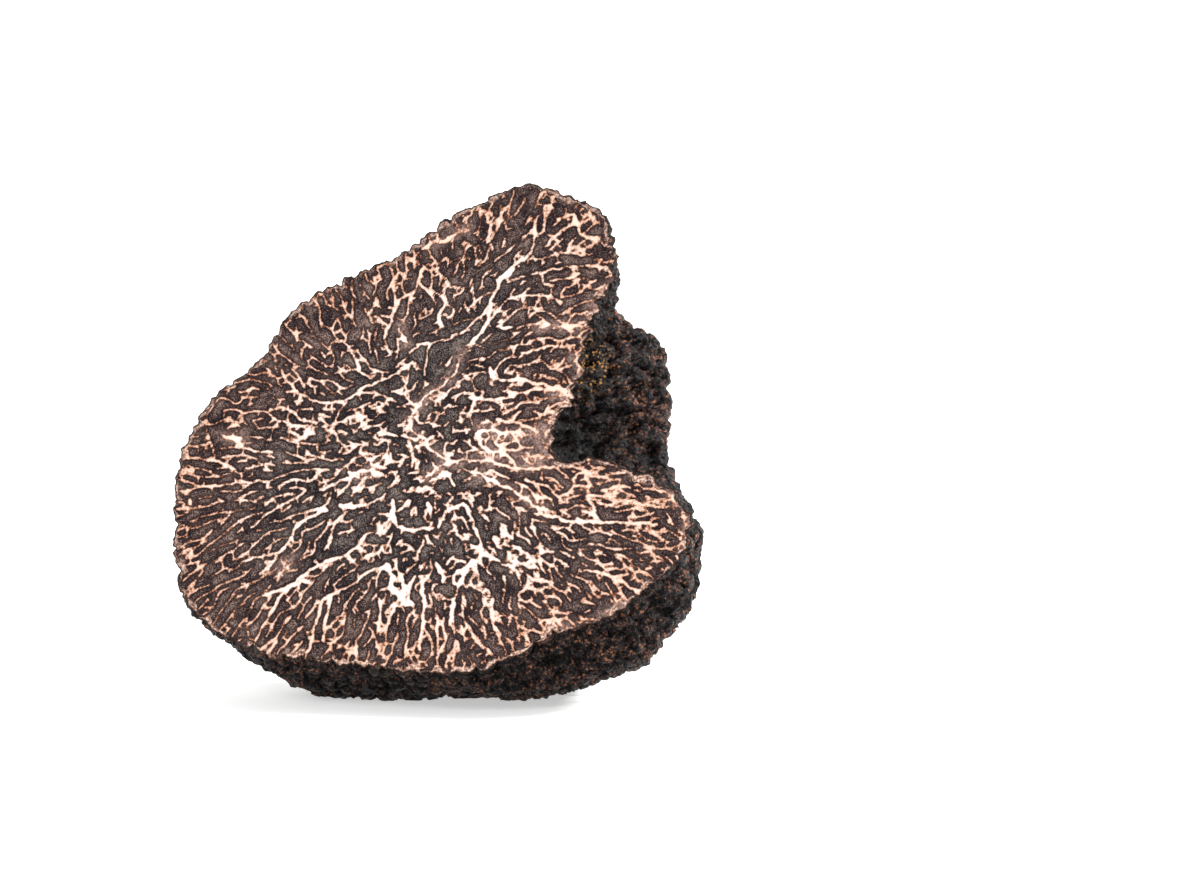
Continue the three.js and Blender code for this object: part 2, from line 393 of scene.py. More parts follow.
# Lines that the veins run along, from the middle of the fruit body outwards.
GUIDES = [
    [(-6.9, 11.6), (-1.9, 18.3), (1.5, 21.6), (3.5, 25.7), (7.3, 30.7), (9.8, 34.5)],
    [(-7.3, 9.9), (-12.7, 11.6), (-18.5, 11.6), (-22.2, 14.9)],
    [(-7.3, 12.4), (-6.0, 16.6), (-0.2, 19.5)],
    [(-9.4, 9.1), (-18.1, 8.3), (-25.2, 9.1), (-30.6, 9.5)],
    [(-10.2, 7.4), (-19.3, 5.8), (-27.7, 5.8), (-32.6, 4.1)],
    [(-11.0, 4.9), (-18.1, 2.5), (-25.6, 1.6), (-33.1, 0.8)],
    [(-11.0, 2.5), (-18.5, -0.5), (-25.6, -3.4), (-32.6, -6.7)],
    [(-10.2, 0.8), (-17.3, -5.9), (-22.2, -10.9), (-26.8, -15.4)],
    [(-9.4, -2.5), (-14.3, -8.4), (-18.5, -13.8), (-20.2, -17.9)],
    [(-7.7, -5.4), (-11.0, -11.7), (-12.7, -18.8)],
    [(-4.4, -3.4), (-5.2, -10.9), (-5.2, -19.2)],
    [(-1.0, -3.4), (-0.2, -10.9), (1.5, -18.3)],
    [(1.5, -2.5), (4.8, -9.6), (8.1, -15.4)],
    [(4.0, -1.7), (9.8, -8.4), (14.8, -12.9)],
    [(5.6, -0.9), (13.9, -5.4), (19.8, -9.6)],
    [(6.4, 0.0), (16.0, -2.5), (24.3, -4.2)],
    [(-0.2, 3.3), (5.2, 0.8), (9.8, -0.5), (18.1, 0.0), (23.9, -0.5)],
    [(-7.3, 2.0), (-3.5, 3.7), (0.6, 3.7), (5.6, 3.7), (9.4, 4.5)],
    [(0.6, 13.3), (5.6, 14.9), (12.7, 17.4)],
    [(-1.5, 11.6), (4.8, 11.6), (11.9, 11.2)],
    [(-3.5, 9.1), (1.5, 7.4), (8.1, 7.0)],
    [(3.5, 20.3), (8.9, 22.4), (13.9, 24.1)],
    [(4.0, 24.5), (9.8, 25.7), (15.6, 26.2)],
    [(7.3, 28.7), (11.9, 29.5), (14.8, 29.1)],
    [(0.2, 24.5), (-0.6, 29.9), (-0.2, 33.2)],
    [(-4.4, 20.8), (-4.4, 25.7), (-5.2, 29.1)],
    [(-8.5, 18.3), (-9.4, 22.4), (-10.2, 26.2)],
    [(-12.7, 14.9), (-14.3, 20.3), (-15.6, 23.7)],
    [(-16.0, 13.3), (-18.5, 18.3), (-20.6, 20.8)],
    [(-19.3, 12.9), (-22.2, 15.8), (-23.9, 15.8)],
]

# The veins that stand out: half width and course.
MAIN_VEINS = [
    (0.16, [(-7.3, 16.0), (-6.0, 17.0), (-3.1, 17.8), (-0.6, 18.9), (0.8, 20.3), (1.7, 21.6),
            (2.5, 23.0), (3.3, 24.9), (4.6, 26.2), (6.0, 26.8), (6.9, 28.2), (7.3, 29.7), (6.9, 30.7),
            (7.5, 32.0)]),
    (0.22, [(2.9, 23.5), (3.5, 24.7), (4.6, 25.9)]),
    (0.15, [(4.0, 24.1), (5.6, 24.9), (8.1, 25.5), (10.6, 25.9), (13.1, 26.2), (15.2, 25.9),
            (16.0, 25.3)]),
    (0.14, [(7.7, 25.3), (8.1, 24.1), (9.4, 23.7)]),
    (0.20, [(-0.6, 30.3), (-1.9, 29.7), (-3.1, 29.0), (-4.8, 28.6), (-6.2, 27.9)]),
    (0.12, [(-0.6, 30.3), (-0.8, 31.6), (-1.7, 32.1)]),
    (0.12, [(-0.6, 30.3), (0.6, 29.4), (1.8, 28.6), (2.2, 27.3)]),
    (0.10, [(1.9, 32.2), (3.1, 31.3), (4.9, 31.7)]),
    (0.10, [(3.0, 32.9), (3.2, 31.3), (4.6, 30.0)]),
    (0.10, [(1.5, 31.0), (3.1, 31.3), (2.6, 29.9)]),
    (0.26, [(11.1, 31.9), (11.7, 31.6), (11.9, 30.8)]),
    (0.13, [(11.9, 31.1), (10.4, 30.5), (9.2, 29.3), (8.2, 28.2)]),
    (0.14, [(11.7, 31.4), (12.3, 29.7), (14.3, 29.4), (15.0, 28.2)]),
    (0.12, [(11.2, 31.8), (10.3, 31.3), (9.4, 31.7)]),
    (0.16, [(13.4, 33.3), (13.9, 31.6), (14.8, 30.6)]),
    (0.13, [(11.9, 29.3), (10.6, 27.8), (12.3, 27.3), (14.3, 27.6)]),
    (0.14, [(-6.0, 26.2), (-6.2, 24.3), (-7.1, 22.6), (-7.6, 21.2), (-8.0, 19.5)]),
    (0.22, [(-6.0, 26.1), (-6.2, 24.7)]),
    (0.30, [(-8.6, 18.9), (-8.2, 17.9), (-7.5, 17.2)]),
    (0.13, [(-6.9, 22.9), (-8.4, 22.5), (-8.9, 21.2), (-9.4, 20.4), (-10.8, 20.3)]),
    (0.13, [(-6.2, 23.9), (-4.9, 22.7), (-4.3, 21.5)]),
    (0.12, [(-5.4, 23.5), (-3.2, 22.4), (-2.2, 20.8), (-2.7, 19.9)]),
    (0.13, [(-4.7, 25.7), (-3.4, 24.8), (-2.7, 23.7), (-1.2, 23.5)]),
    (0.22, [(-3.9, 20.5), (-3.7, 19.7), (-3.2, 19.0)]),
    (0.14, [(-3.3, 22.2), (-3.9, 20.5)]),
    (0.16, [(-0.1, 24.9), (-0.6, 23.7)]),
    (0.18, [(-0.8, 22.1), (-0.5, 20.8)]),
    (0.20, [(2.0, 21.8), (1.7, 19.9), (0.6, 18.0), (-0.6, 17.0)]),
    (0.20, [(2.5, 19.3), (3.5, 19.0), (4.5, 19.2)]),
    (0.12, [(5.0, 19.1), (6.0, 19.4), (8.1, 19.7)]),
    (0.30, [(7.5, 19.0), (8.9, 19.4)]),
    (0.26, [(9.4, 19.0), (11.0, 19.3), (12.3, 19.5)]),
    (0.14, [(5.2, 17.0), (7.7, 17.8), (10.2, 17.8), (12.5, 18.0)]),
    (0.14, [(5.6, 16.3), (8.1, 16.8), (11.9, 17.3)]),
    (0.13, [(4.0, 22.2), (6.0, 22.7), (8.1, 22.9), (10.2, 22.0)]),
    (0.28, [(9.6, 22.2), (10.3, 21.9)]),
    (0.26, [(2.0, 14.6), (2.2, 13.7), (3.5, 13.2)]),
    (0.19, [(3.5, 13.2), (5.6, 13.3), (7.3, 12.9), (9.4, 12.4), (11.4, 11.5)]),
    (0.18, [(-0.3, 11.1), (2.3, 11.0), (4.8, 11.6), (7.3, 12.2), (9.8, 12.2), (12.5, 11.8)]),
    (0.14, [(5.6, 14.9), (8.1, 15.3), (10.6, 13.7), (11.9, 12.0)]),
    (0.16, [(6.9, 9.9), (8.2, 9.5), (8.7, 10.6)]),
    (0.18, [(8.2, 9.5), (10.2, 9.9)]),
    (0.15, [(11.5, 15.8), (12.3, 14.9), (11.9, 13.9)]),
    (0.30, [(0.8, 7.4), (1.2, 6.0), (2.1, 5.2)]),
    (0.16, [(2.1, 5.2), (4.0, 5.6), (7.3, 5.8)]),
    (0.20, [(0.6, 7.4), (2.3, 7.7), (4.0, 7.4), (5.6, 7.5)]),
    (0.18, [(2.7, 9.1), (4.0, 8.6), (5.6, 8.2), (7.7, 7.7)]),
    (0.16, [(9.4, 3.8), (7.3, 3.5), (5.6, 3.6), (2.7, 4.0), (0.6, 4.3), (-1.5, 4.3), (-3.5, 3.6),
            (-5.2, 2.4)]),
    (0.16, [(-0.6, 3.3), (1.0, 2.9), (3.1, 2.0), (5.2, 0.7), (6.9, -0.1), (8.2, -0.8)]),
    (0.15, [(-5.0, 11.6), (-6.0, 10.4), (-7.3, 9.0), (-6.9, 7.8), (-5.5, 6.6), (-4.2, 5.4),
            (-3.0, 4.2)]),
    (0.12, [(-1.4, 15.6), (-1.8, 13.9), (-3.3, 12.6), (-4.9, 11.6)]),
    (0.15, [(-9.4, 6.4), (-9.7, 4.6), (-11.4, 3.3), (-13.3, 2.5), (-15.2, 1.6), (-17.3, 0.8)]),
    (0.24, [(-13.8, 2.8), (-13.0, 2.2)]),
    (0.13, [(-16.0, 2.9), (-18.1, 2.9), (-20.2, 2.9), (-23.5, 1.7), (-27.7, 1.2), (-30.6, 1.0),
            (-32.0, 0.6)]),
    (0.30, [(-32.3, 0.6), (-32.2, -0.9)]),
    (0.14, [(-32.6, 4.0), (-29.7, 3.9), (-28.0, 3.4), (-26.0, 2.4)]),
    (0.13, [(-30.6, 7.4), (-30.1, 5.7), (-29.6, 3.9)]),
    (0.24, [(-28.7, 6.8), (-27.4, 6.3), (-26.2, 6.4)]),
    (0.14, [(-27.4, 6.3), (-25.1, 4.9), (-22.7, 4.9)]),
    (0.13, [(-29.3, 10.8), (-30.8, 8.5), (-31.6, 7.2)]),
    (0.13, [(-8.7, 10.8), (-11.0, 11.6), (-12.7, 11.6), (-14.3, 11.0), (-16.4, 10.4), (-18.1, 10.6),
            (-19.8, 11.4), (-21.4, 12.9), (-22.2, 14.3)]),
    (0.14, [(-6.9, 14.9), (-8.9, 13.6), (-11.0, 12.8), (-13.1, 11.9)]),
    (0.22, [(-19.3, 6.4), (-18.8, 7.4), (-18.1, 6.9)]),
    (0.13, [(-18.8, 7.2), (-20.2, 6.2), (-22.2, 6.4)]),
    (0.14, [(-20.6, 19.1), (-20.4, 17.4), (-18.5, 16.6)]),
    (0.24, [(-13.3, 15.1), (-13.2, 14.1)]),
    (0.13, [(-15.2, 17.4), (-13.9, 16.2), (-13.3, 15.1)]),
    (0.13, [(-13.2, 14.1), (-11.8, 13.3)]),
    (0.26, [(-15.0, -0.9), (-13.2, -0.9)]),
    (0.24, [(-18.1, -1.2), (-16.4, -1.3)]),
    (0.15, [(-16.4, -1.3), (-19.3, -2.7), (-21.4, -5.9), (-22.7, -6.3), (-25.6, -7.1)]),
    (0.14, [(-13.2, -0.9), (-11.0, -0.5), (-9.4, 0.6)]),
    (0.17, [(-11.0, -3.4), (-13.5, -5.9), (-16.0, -6.7), (-18.1, -7.9), (-19.8, -9.4), (-21.4, -10.9),
            (-23.5, -14.6), (-23.9, -15.8)]),
    (0.20, [(-18.1, -8.8), (-19.3, -9.4), (-21.0, -10.2)]),
    (0.14, [(-19.8, -9.4), (-21.8, -10.4), (-24.1, -11.2), (-25.1, -13.3), (-24.7, -15.1)]),
    (0.16, [(-9.4, -7.3), (-11.4, -8.0), (-13.5, -9.6), (-15.6, -10.4), (-16.5, -10.9), (-17.0, -12.9),
            (-17.7, -15.4), (-18.1, -17.7)]),
    (0.28, [(-8.7, -0.2), (-8.7, -1.7), (-8.3, -3.0)]),
    (0.20, [(-8.3, -3.0), (-6.0, -3.4), (-4.0, -3.0)]),
    (0.34, [(-9.4, -6.9), (-8.5, -8.4), (-8.7, -9.6), (-7.3, -11.1), (-6.0, -11.3)]),
    (0.18, [(-3.7, -3.0), (-2.7, -1.1), (-1.0, -0.5), (0.3, -1.8), (0.8, -3.4), (1.5, -5.9)]),
    (0.26, [(1.5, -5.9), (0.1, -6.9), (-0.6, -7.9)]),
    (0.22, [(-0.6, -7.9), (-1.4, -9.6), (-1.7, -11.7), (-2.1, -13.6)]),
    (0.14, [(1.5, -5.9), (3.3, -6.4)]),
    (0.20, [(-5.2, -8.8), (-4.9, -11.3), (-5.2, -13.8), (-5.4, -16.1)]),
    (0.30, [(-4.6, -0.5), (-4.3, -1.5)]),
    (0.24, [(-3.9, -6.7), (-3.1, -7.9), (-2.7, -9.0)]),
    (0.20, [(2.5, -10.4), (2.7, -12.9), (3.5, -14.3)]),
    (0.16, [(0.2, -13.8), (1.5, -15.4), (2.7, -16.3)]),
    (0.18, [(-15.6, -10.4), (-16.0, -12.9), (-16.4, -15.4)]),
    (0.20, [(-12.7, -15.4), (-12.3, -17.7), (-11.4, -18.5)]),
    (0.20, [(-10.2, -10.9), (-9.8, -12.5), (-10.1, -14.2)]),
    (0.14, [(7.3, -1.3), (9.8, -1.8), (11.9, -2.2), (13.5, -1.9), (16.0, -2.2), (19.3, -2.0),
            (21.1, -2.3)]),
    (0.15, [(19.5, 1.6), (22.0, 1.3), (23.9, -0.5), (24.4, -3.0), (23.9, -5.4), (22.5, -6.9)]),
    (0.15, [(13.1, 2.5), (13.4, 0.4), (14.1, -1.3)]),
    (0.22, [(13.7, -0.9), (14.3, -1.6)]),
    (0.15, [(11.0, 0.6), (11.8, 2.4), (12.9, 3.5), (13.5, 1.6)]),
    (0.24, [(11.9, -1.9), (12.7, -2.0)]),
    (0.16, [(14.6, 1.2), (16.4, 1.6), (18.1, 1.7)]),
    (0.15, [(13.1, -7.1), (15.6, -7.9), (17.7, -8.8), (19.3, -9.6)]),
]

# Courses that stay free of veins: half width and course.
QUIET = [
    (0.90, [(-5.4, 13.3), (-4.2, 15.1), (-2.7, 16.6)]),
    (0.70, [(-1.9, 16.6), (0.2, 18.3), (1.5, 19.9)]),
    (0.55, [(-12.7, 12.2), (-10.2, 13.3), (-7.7, 14.6), (-6.0, 15.6)]),
    (0.50, [(-9.4, 9.1), (-8.5, 6.6), (-6.9, 4.9)]),
    (0.60, [(-15.2, -5.4), (-13.5, -4.2), (-11.8, -2.5), (-10.2, -0.5)]),
    (0.60, [(-6.9, 2.5), (-8.5, 0.8), (-10.2, -1.7)]),
    (0.70, [(-22.2, 7.4), (-21.6, 6.2), (-21.2, 4.9)]),
    (0.60, [(3.5, 22.8), (4.6, 24.5), (6.0, 25.7)]),
    (0.50, [(-2.9, 1.2), (-1.0, 2.0), (1.5, 1.2), (3.5, -0.5)]),
    (0.60, [(-8.5, -0.9), (-7.3, -1.7), (-5.2, -2.7)]),
]

# Streaks where the flesh is pinkish and the veins blend into it: half width and course.
PINK = [
    (0.55, [(-1.2, 16.2), (-1.9, 13.9), (-3.5, 12.5), (-5.1, 11.4)]),
    (0.45, [(-5.0, 11.6), (-6.2, 10.1), (-7.2, 8.9)]),
    (0.50, [(-7.1, 7.9), (-5.2, 6.4), (-3.1, 4.5)]),
    (0.45, [(-5.2, 2.4), (-3.1, 3.6), (0.6, 4.3), (5.6, 3.6), (9.4, 3.8)]),
    (0.40, [(0.6, 2.9), (3.5, 2.0), (6.0, 0.4), (8.1, -0.7)]),
    (0.45, [(-13.9, 2.9), (-12.7, 2.2), (-11.0, 3.5)]),
    (0.90, [(1.7, 4.9), (4.0, 4.7), (6.9, 4.9), (9.2, 5.4)]),
    (0.90, [(1.5, 7.9), (4.0, 7.0), (8.1, 7.4), (9.8, 8.1)]),
    (0.60, [(9.4, 11.6), (11.4, 10.8), (11.9, 9.5), (10.4, 8.5)]),
    (0.50, [(11.6, 15.8), (12.5, 14.5), (12.3, 12.4)]),
    (0.50, [(7.5, 19.0), (9.8, 19.3), (12.5, 19.4)]),
    (0.50, [(13.5, 21.6), (15.0, 22.6), (16.0, 24.5)]),
    (0.45, [(-4.4, 28.7), (-2.7, 29.3), (-0.8, 30.2)]),
    (0.40, [(-19.3, -6.7), (-20.6, -7.1), (-21.4, -7.9)]),
    (0.45, [(-28.7, 6.8), (-27.4, 6.3), (-26.0, 6.3)]),
    (0.50, [(-8.3, 19.1), (-8.0, 18.0), (-7.7, 17.1)]),
    (0.50, [(22.0, 1.6), (24.1, -0.5), (24.5, -3.0), (23.9, -5.4)]),
    (0.45, [(10.6, -13.3), (13.9, -12.7), (18.1, -10.9)]),
]

# Steps along a drawn vein, of its width's random values, of a growing vein and of a side branch.
STROKE_STEP = 0.12
WAVER_STEP = 0.5
GROW_STEP = 0.2
BRANCH_STEP = 0.15

# Share of the growing veins that run on into the vein they meet, then for each round of growth
# the shares of the room and the length that its veins have, and how many times its own room a
# vein runs from one side branch to the next.
JOINED = 0.65
ROUNDS = ((1.0, 1.0), (0.78, 0.5), (0.64, 0.15))
BRANCH_EVERY = 1.4


def plane_noise(spots, size, seed, layers=2):
    """Layered value noise over a plane."""
    flat = np.zeros(spots.shape[:-1] + (1,))
    return layered_noise(np.concatenate([spots, flat], -1), size, seed, layers)


def guide_direction(spots):
    """Mean of the guide lines' directions at each spot, weighted by length and nearness.

    Angles are doubled first, so that a line counts the same both ways, and halved afterwards.
    """
    total = np.zeros(spots.shape)
    for line in GUIDES:
        for start, end in zip(np.array(line[:-1]), np.array(line[1:])):
            run = end - start
            length = np.hypot(*run)
            share_of_run = np.clip(((spots - start) @ run) / length ** 2, 0, 1)
            away = ((spots - start - share_of_run[..., None] * run) ** 2).sum(-1)
            turn = 2 * math.atan2(run[1], run[0])
            pull = length / (away + 1.0) ** 1.5
            total += pull[..., None] * np.array((math.cos(turn), math.sin(turn)))
    turn = np.arctan2(total[..., 1], total[..., 0]) / 2
    return np.stack([np.cos(turn), np.sin(turn)], -1)


def inside_outline(spots):
    """Whether each spot lies inside the cut edge, by the even-odd rule."""
    inside = np.zeros(spots.shape[:-1], bool)
    x, z = spots[..., 0], spots[..., 1]
    corners = EDGE_CURVE[::4, :2]
    for (x0, z0), (x1, z1) in zip(corners, np.roll(corners, -1, axis=0)):
        if z0 != z1:
            inside ^= ((z0 > z) != (z1 > z)) & (x < (x1 - x0) * (z - z0) / (z1 - z0) + x0)
    return inside


def zone(x, z, reach_x, reach_z):
    """A soft oval: 1 at x, z and falling off as a bell curve over the reaches."""
    across, over = (map_places[..., 0] - x) / reach_x, (map_places[..., 1] - z) / reach_z
    return np.exp(-across ** 2 - over ** 2)


DIRECTION_SCALE = 5   # the map of directions has one spot for this many of the vein map
direction = guide_direction(map_places[::DIRECTION_SCALE, ::DIRECTION_SCALE])
on_cut_face = inside_outline(map_places)

# Regions of the cut, and what changes from one to the next: the small veins lie about spacing_map
# apart, grow up to longest_map long, have half widths near width_map and swerve by wiggle_map.
wander = plane_noise(map_places, 1.3, 50) + 0.9 * plane_noise(map_places, 0.65, 60)
upper_lobe = np.clip((map_places[..., 1] - 0.25 * map_places[..., 0] - 12) / 8, 0, 1)
left_side = np.clip((-map_places[..., 0] - 14) / 8, 0, 1) * (1 - upper_lobe)
middle, bottom, right_lobe = zone(-5, 5, 8, 7), zone(0, -6, 10, 7), zone(17, -3, 9, 9)
spacing_map = (0.98 + 0.20 * upper_lobe - 0.36 * middle - 0.20 * bottom - 0.22 * right_lobe
               + 0.18 * left_side)
longest_map = 6.0 + 4.0 * left_side + 1.5 * upper_lobe - 4.2 * middle - 3.4 * bottom
width_map = 0.060 + 0.020 * middle + 0.016 * bottom - 0.003 * left_side - 0.008 * right_lobe
wiggle_map = 0.65 + 0.6 * middle + 0.8 * bottom - 0.25 * left_side - 0.2 * right_lobe

ink = np.full(on_cut_face.shape, -1.5)    # how far inside a vein each spot of the map is
gap = np.full(on_cut_face.shape, 9.0)     # how far from the line of a vein
blush = np.full(on_cut_face.shape, -3.0)  # how far inside a pinkish streak


def look(field, spot, scale=1):
    """The value of a map at a spot."""
    column, row = ((spot - MAP_CORNER) / VEIN_STEP / scale).astype(int)
    return field[min(max(row, 0), field.shape[0] - 1), min(max(column, 0), field.shape[1] - 1)]


def even_steps(course, step):
    """Points at even steps along a course, and the length run at each."""
    course = np.asarray(course, float)
    run = np.concatenate([[0], np.cumsum(np.hypot(*np.diff(course, axis=0).T))])
    length = np.linspace(0, run[-1], max(int(run[-1] / step), 3))
    return np.stack([np.interp(length, run, course[:, k]) for k in range(2)], -1), length


def stamp(path, widths, inked, spaced, reach=16):
    """Draws a path on the maps: ink is the half width less the distance, gap the distance."""
    for spot, width in zip(path, widths):
        column, row = np.round((spot - MAP_CORNER) / VEIN_STEP).astype(int)
        window = (slice(max(row - reach, 0), max(row + reach + 1, 0)),
                  slice(max(column - reach, 0), max(column + reach + 1, 0)))
        part = map_places[window]
        away = np.hypot(part[..., 0] - spot[0], part[..., 1] - spot[1])
        if spaced is not None:
            np.minimum(spaced[window], away, out=spaced[window])
        if inked is not None:
            np.maximum(inked[window], width - away, out=inked[window])


def draw(course, half_width, ends=0.35, uneven=0.4):
    """Draws one vein, whose width wavers by random values along it and thins at both ends."""
    path, run = even_steps(course, STROKE_STEP)
    knots = np.arange(0, run[-1] + 1.0, WAVER_STEP)
    waver = 1 + uneven * np.interp(run, knots, dice.uniform(-1, 1, len(knots)))
    tip = np.clip(np.minimum(run, run[-1] - run) / ends, 0, 1) ** 0.7
    stamp(path, half_width * waver * (0.70 + 0.30 * tip), ink, gap)
    strokes.append(path)


def heading(spot, before):
    """The direction that a vein takes at a spot, nearest to the one it had."""
    guide = look(direction, spot, DIRECTION_SCALE)
    guide = -guide if guide @ before < 0 else guide
    turn = look(wiggle_map, spot) * look(wander, spot)
    return np.array((guide[0] * math.cos(turn) - guide[1] * math.sin(turn),
                     guide[0] * math.sin(turn) + guide[1] * math.cos(turn)))


def grow(spot, way, longest, keep):
    """Grows a vein from a spot until it is long enough, leaves the cut or comes near another one."""
    path = [spot]
    for _ in range(int(longest / GROW_STEP)):
        way = 0.35 * way + 0.65 * heading(spot, way)
        way /= np.hypot(*way)
        spot = spot + GROW_STEP * way
        if not look(on_cut_face, spot):
            break
        if look(gap, spot) < keep:
            if dice.uniform() < JOINED:
                path += [spot + GROW_STEP * k * way for k in range(1, 4)]
            break
        path.append(spot)
    return path


dice = np.random.RandomState(3)
strokes = []
for width, course in QUIET:
    path = even_steps(course, 0.3)[0]
    stamp(path, np.zeros(len(path)), None, gap, reach=int(width / VEIN_STEP))
for width, course in MAIN_VEINS:
    path = even_steps(course, 0.15)[0]
    path = path + 0.2 * np.stack([plane_noise(path, 0.9, seed, 3) for seed in (71, 75)], -1)
    draw(path, 0.55 * width, uneven=0.35 + 1.4 * width)
for width, course in PINK:
    path = even_steps(course, 0.2)[0]
    stamp(path, np.full(len(path), width), blush, None, reach=30)

# Small veins grow both ways from random spots, where there is room, in three rounds.
spots = np.stack([dice.uniform(-36, 27.5, 12000), dice.uniform(-20, 37, 12000)], -1)
spots = [spot for spot in spots if look(on_cut_face, spot)]
for closer, shorter in ROUNDS:
    for spot in spots:
        room = closer * look(spacing_map, spot)
        if look(gap, spot) < 0.85 * room:
            continue
        way = heading(spot, np.array((1.0, 0.0)))
        longest = 0.5 * shorter * look(longest_map, spot) * dice.uniform(0.15, 1.0)
        course = grow(spot, way, longest, 0.6 * room)[::-1] + grow(spot, -way, longest, 0.6 * room)[1:]
        if len(course) > 2:
            draw(course, look(width_map, spot) * dice.uniform(0.8, 1.25))

# Short side branches leave the veins at a slant and stop at the next one.
for path in list(strokes):
    room = look(spacing_map, path[len(path) // 2])
    for _ in range(dice.poisson(STROKE_STEP * len(path) / (BRANCH_EVERY * room))):
        k = dice.randint(1, len(path) - 1)
        way = path[k + 1] - path[k - 1]
        turn = dice.choice((-1, 1)) * dice.uniform(0.7, 1.4)
        way = np.array((way[0] * math.cos(turn) - way[1] * math.sin(turn),
                        way[0] * math.sin(turn) + way[1] * math.cos(turn)))
        way /= np.hypot(*way) + 1e-9
        course = [path[k]]
        for step in range(int(room * dice.uniform(0.3, 0.85) / BRANCH_STEP) + 1):
            way = way + dice.normal(0, 0.2, 2)
            way /= np.hypot(*way)
            course.append(course[-1] + BRANCH_STEP * way)
            if not look(on_cut_face, course[-1]) or (step > 1 and look(ink, course[-1]) > 0):
                break
        draw(course, look(width_map, path[k]) * dice.uniform(0.75, 1.1), ends=0.25)


def blur(field, reach):
    """Gaussian blur of a map, done on its waves."""
    waves_z = np.fft.fftfreq(field.shape[0], VEIN_STEP)[:, None]
    waves_x = np.fft.rfftfreq(field.shape[1], VEIN_STEP)[None, :]
    keep = np.exp(-2 * (math.pi * reach) ** 2 * (waves_x ** 2 + waves_z ** 2))
    return np.fft.irfft2(np.fft.rfft2(field) * keep, s=field.shape)


# Where veins crowd, they run together into pale patches.
crowd = blur(np.clip(ink, -0.35, 0.15), 0.3)
vein_map = blur(np.clip(ink + 0.34 * (crowd + 0.2), -0.8, 0.6), 0.07)
blush_map = blur(np.clip(0.5 + blush / 0.8, 0, 1), 0.3)


def on_map(field, spots):
    """A map's value at spots, by straight lines between its four nearest points."""
    steps = np.clip((spots - MAP_CORNER) / VEIN_STEP, 0, np.array(field.shape[::-1]) - 1.01)
    column, row = steps[..., 0].astype(int), steps[..., 1].astype(int)
    right, over = steps[..., 0] - column, steps[..., 1] - row
    low = field[row, column] * (1 - right) + field[row, column + 1] * right
    high = field[row + 1, column] * (1 - right) + field[row + 1, column + 1] * right
    return low * (1 - over) + high * over


seen = cut_xyz[..., (0, 2)] - CENTRE[[0, 2]]
vein = on_map(vein_map, seen)
pink = on_map(blush_map, seen)
rim_points = cut[on_edge]
edge_gap = np.concatenate([np.sqrt(((part[:, None] - rim_points) ** 2).sum(-1)).min(1)
                           for part in np.array_split(cut.reshape(-1, 2), 60)]).reshape(rho.shape)

# The blade tore the rind along the bottom, below TORN_BELOW, and down the right side. There a
# strip of its pale inner layer shows.
TORN_BELOW = -11.0
TORN_TOP = 31.0
torn = np.maximum(ease((TORN_BELOW - seen[..., 1]) / RIP_FADE),
                  ease((seen[..., 0] - RIPPED_X) / RIP_FADE) * ease((TORN_TOP - seen[..., 1]) / RIP_FADE))

# The knife leaves the veins a trace proud of the flesh, and the flesh slightly grained.
VEIN_HEIGHT = 0.035
GRAIN_HEIGHT = 0.02
relief = VEIN_HEIGHT * ease((vein + 0.1) / 0.3) + GRAIN_HEIGHT * layered_noise(cut_xyz, 0.5, 91, 2)
relief *= ease(edge_gap / 0.5)
cut_xyz += relief[..., None] * NORMAL


# Body of the half
# Rind and cut are one closed mesh, since they are one grown body: both grids share the points of
# the cut edge. What the finishes need to know is kept as numbers at each point.

# Golden crumbs of dry earth cling to the rind in the upper part of the cleft.
CRUMBS_PLACE = (18.6, -6.0, 39.0)
CRUMBS_REACH = 4.2
crumbs = np.exp(-((rind_out - CRUMBS_PLACE) ** 2).sum(-1) / CRUMBS_REACH ** 2)

# Painted shade: the rind is made blacker towards the corner of the cleft, where shade falls.
CLEFT_SHADE_PLACE = (15.5, -6.0, 29.0)
CLEFT_SHADE_REACH = 6.0
cleft_shade = np.exp(-((rind_out - CLEFT_SHADE_PLACE) ** 2).sum(-1) / CLEFT_SHADE_REACH ** 2)

count = CELLS + 1
rind_index = np.arange(count * count).reshape(count, count)
cut_index = np.full((count, count), -1)
cut_index[~on_edge] = count * count + np.arange((~on_edge).sum())
cut_index[on_edge] = rind_index[on_edge]
places = np.vstack([rind_out.reshape(-1, 3), cut_xyz[~on_edge]]) * 0.001


def grid_triangles(index):
    """Two triangles to a cell, split along the diagonal that points at the grid's middle."""
    a, b, c, d = index[:-1, :-1], index[1:, :-1], index[1:, 1:], index[:-1, 1:]
    i, j = np.indices(a.shape)
    half = len(a) / 2
    along = ((i + 0.5 - half) * (j + 0.5 - half) > 0)[..., None]
    first = np.where(along, np.stack([a, b, c], -1), np.stack([a, b, d], -1))
    second = np.where(along, np.stack([a, c, d], -1), np.stack([b, c, d], -1))
    return np.concatenate([first.reshape(-1, 3), second.reshape(-1, 3)])


def facing(faces, outward):
    """True if the faces look along outward, by the sum of their area vectors."""
    corners = places[faces]
    area = np.cross(corners[:, 1] - corners[:, 0], corners[:, 2] - corners[:, 0]).sum(axis=0)
    return float(area @ outward) > 0


cut_faces = grid_triangles(cut_index)
if not facing(cut_faces, NORMAL):
    cut_faces = cut_faces[:, ::-1]
rind_faces = grid_triangles(rind_index)
if facing(rind_faces, NORMAL):
    rind_faces = rind_faces[:, ::-1]
faces = np.concatenate([cut_faces, rind_faces])

mesh = bpy.data.meshes.new("truffle_half")
mesh.from_pydata(places.tolist(), [], faces.tolist())
mesh.polygons.foreach_set("use_smooth", np.ones(len(faces), bool))
slots = np.repeat([0, 1], [len(cut_faces), len(rind_faces)])
mesh.polygons.foreach_set("material_index", slots.astype(np.int32))

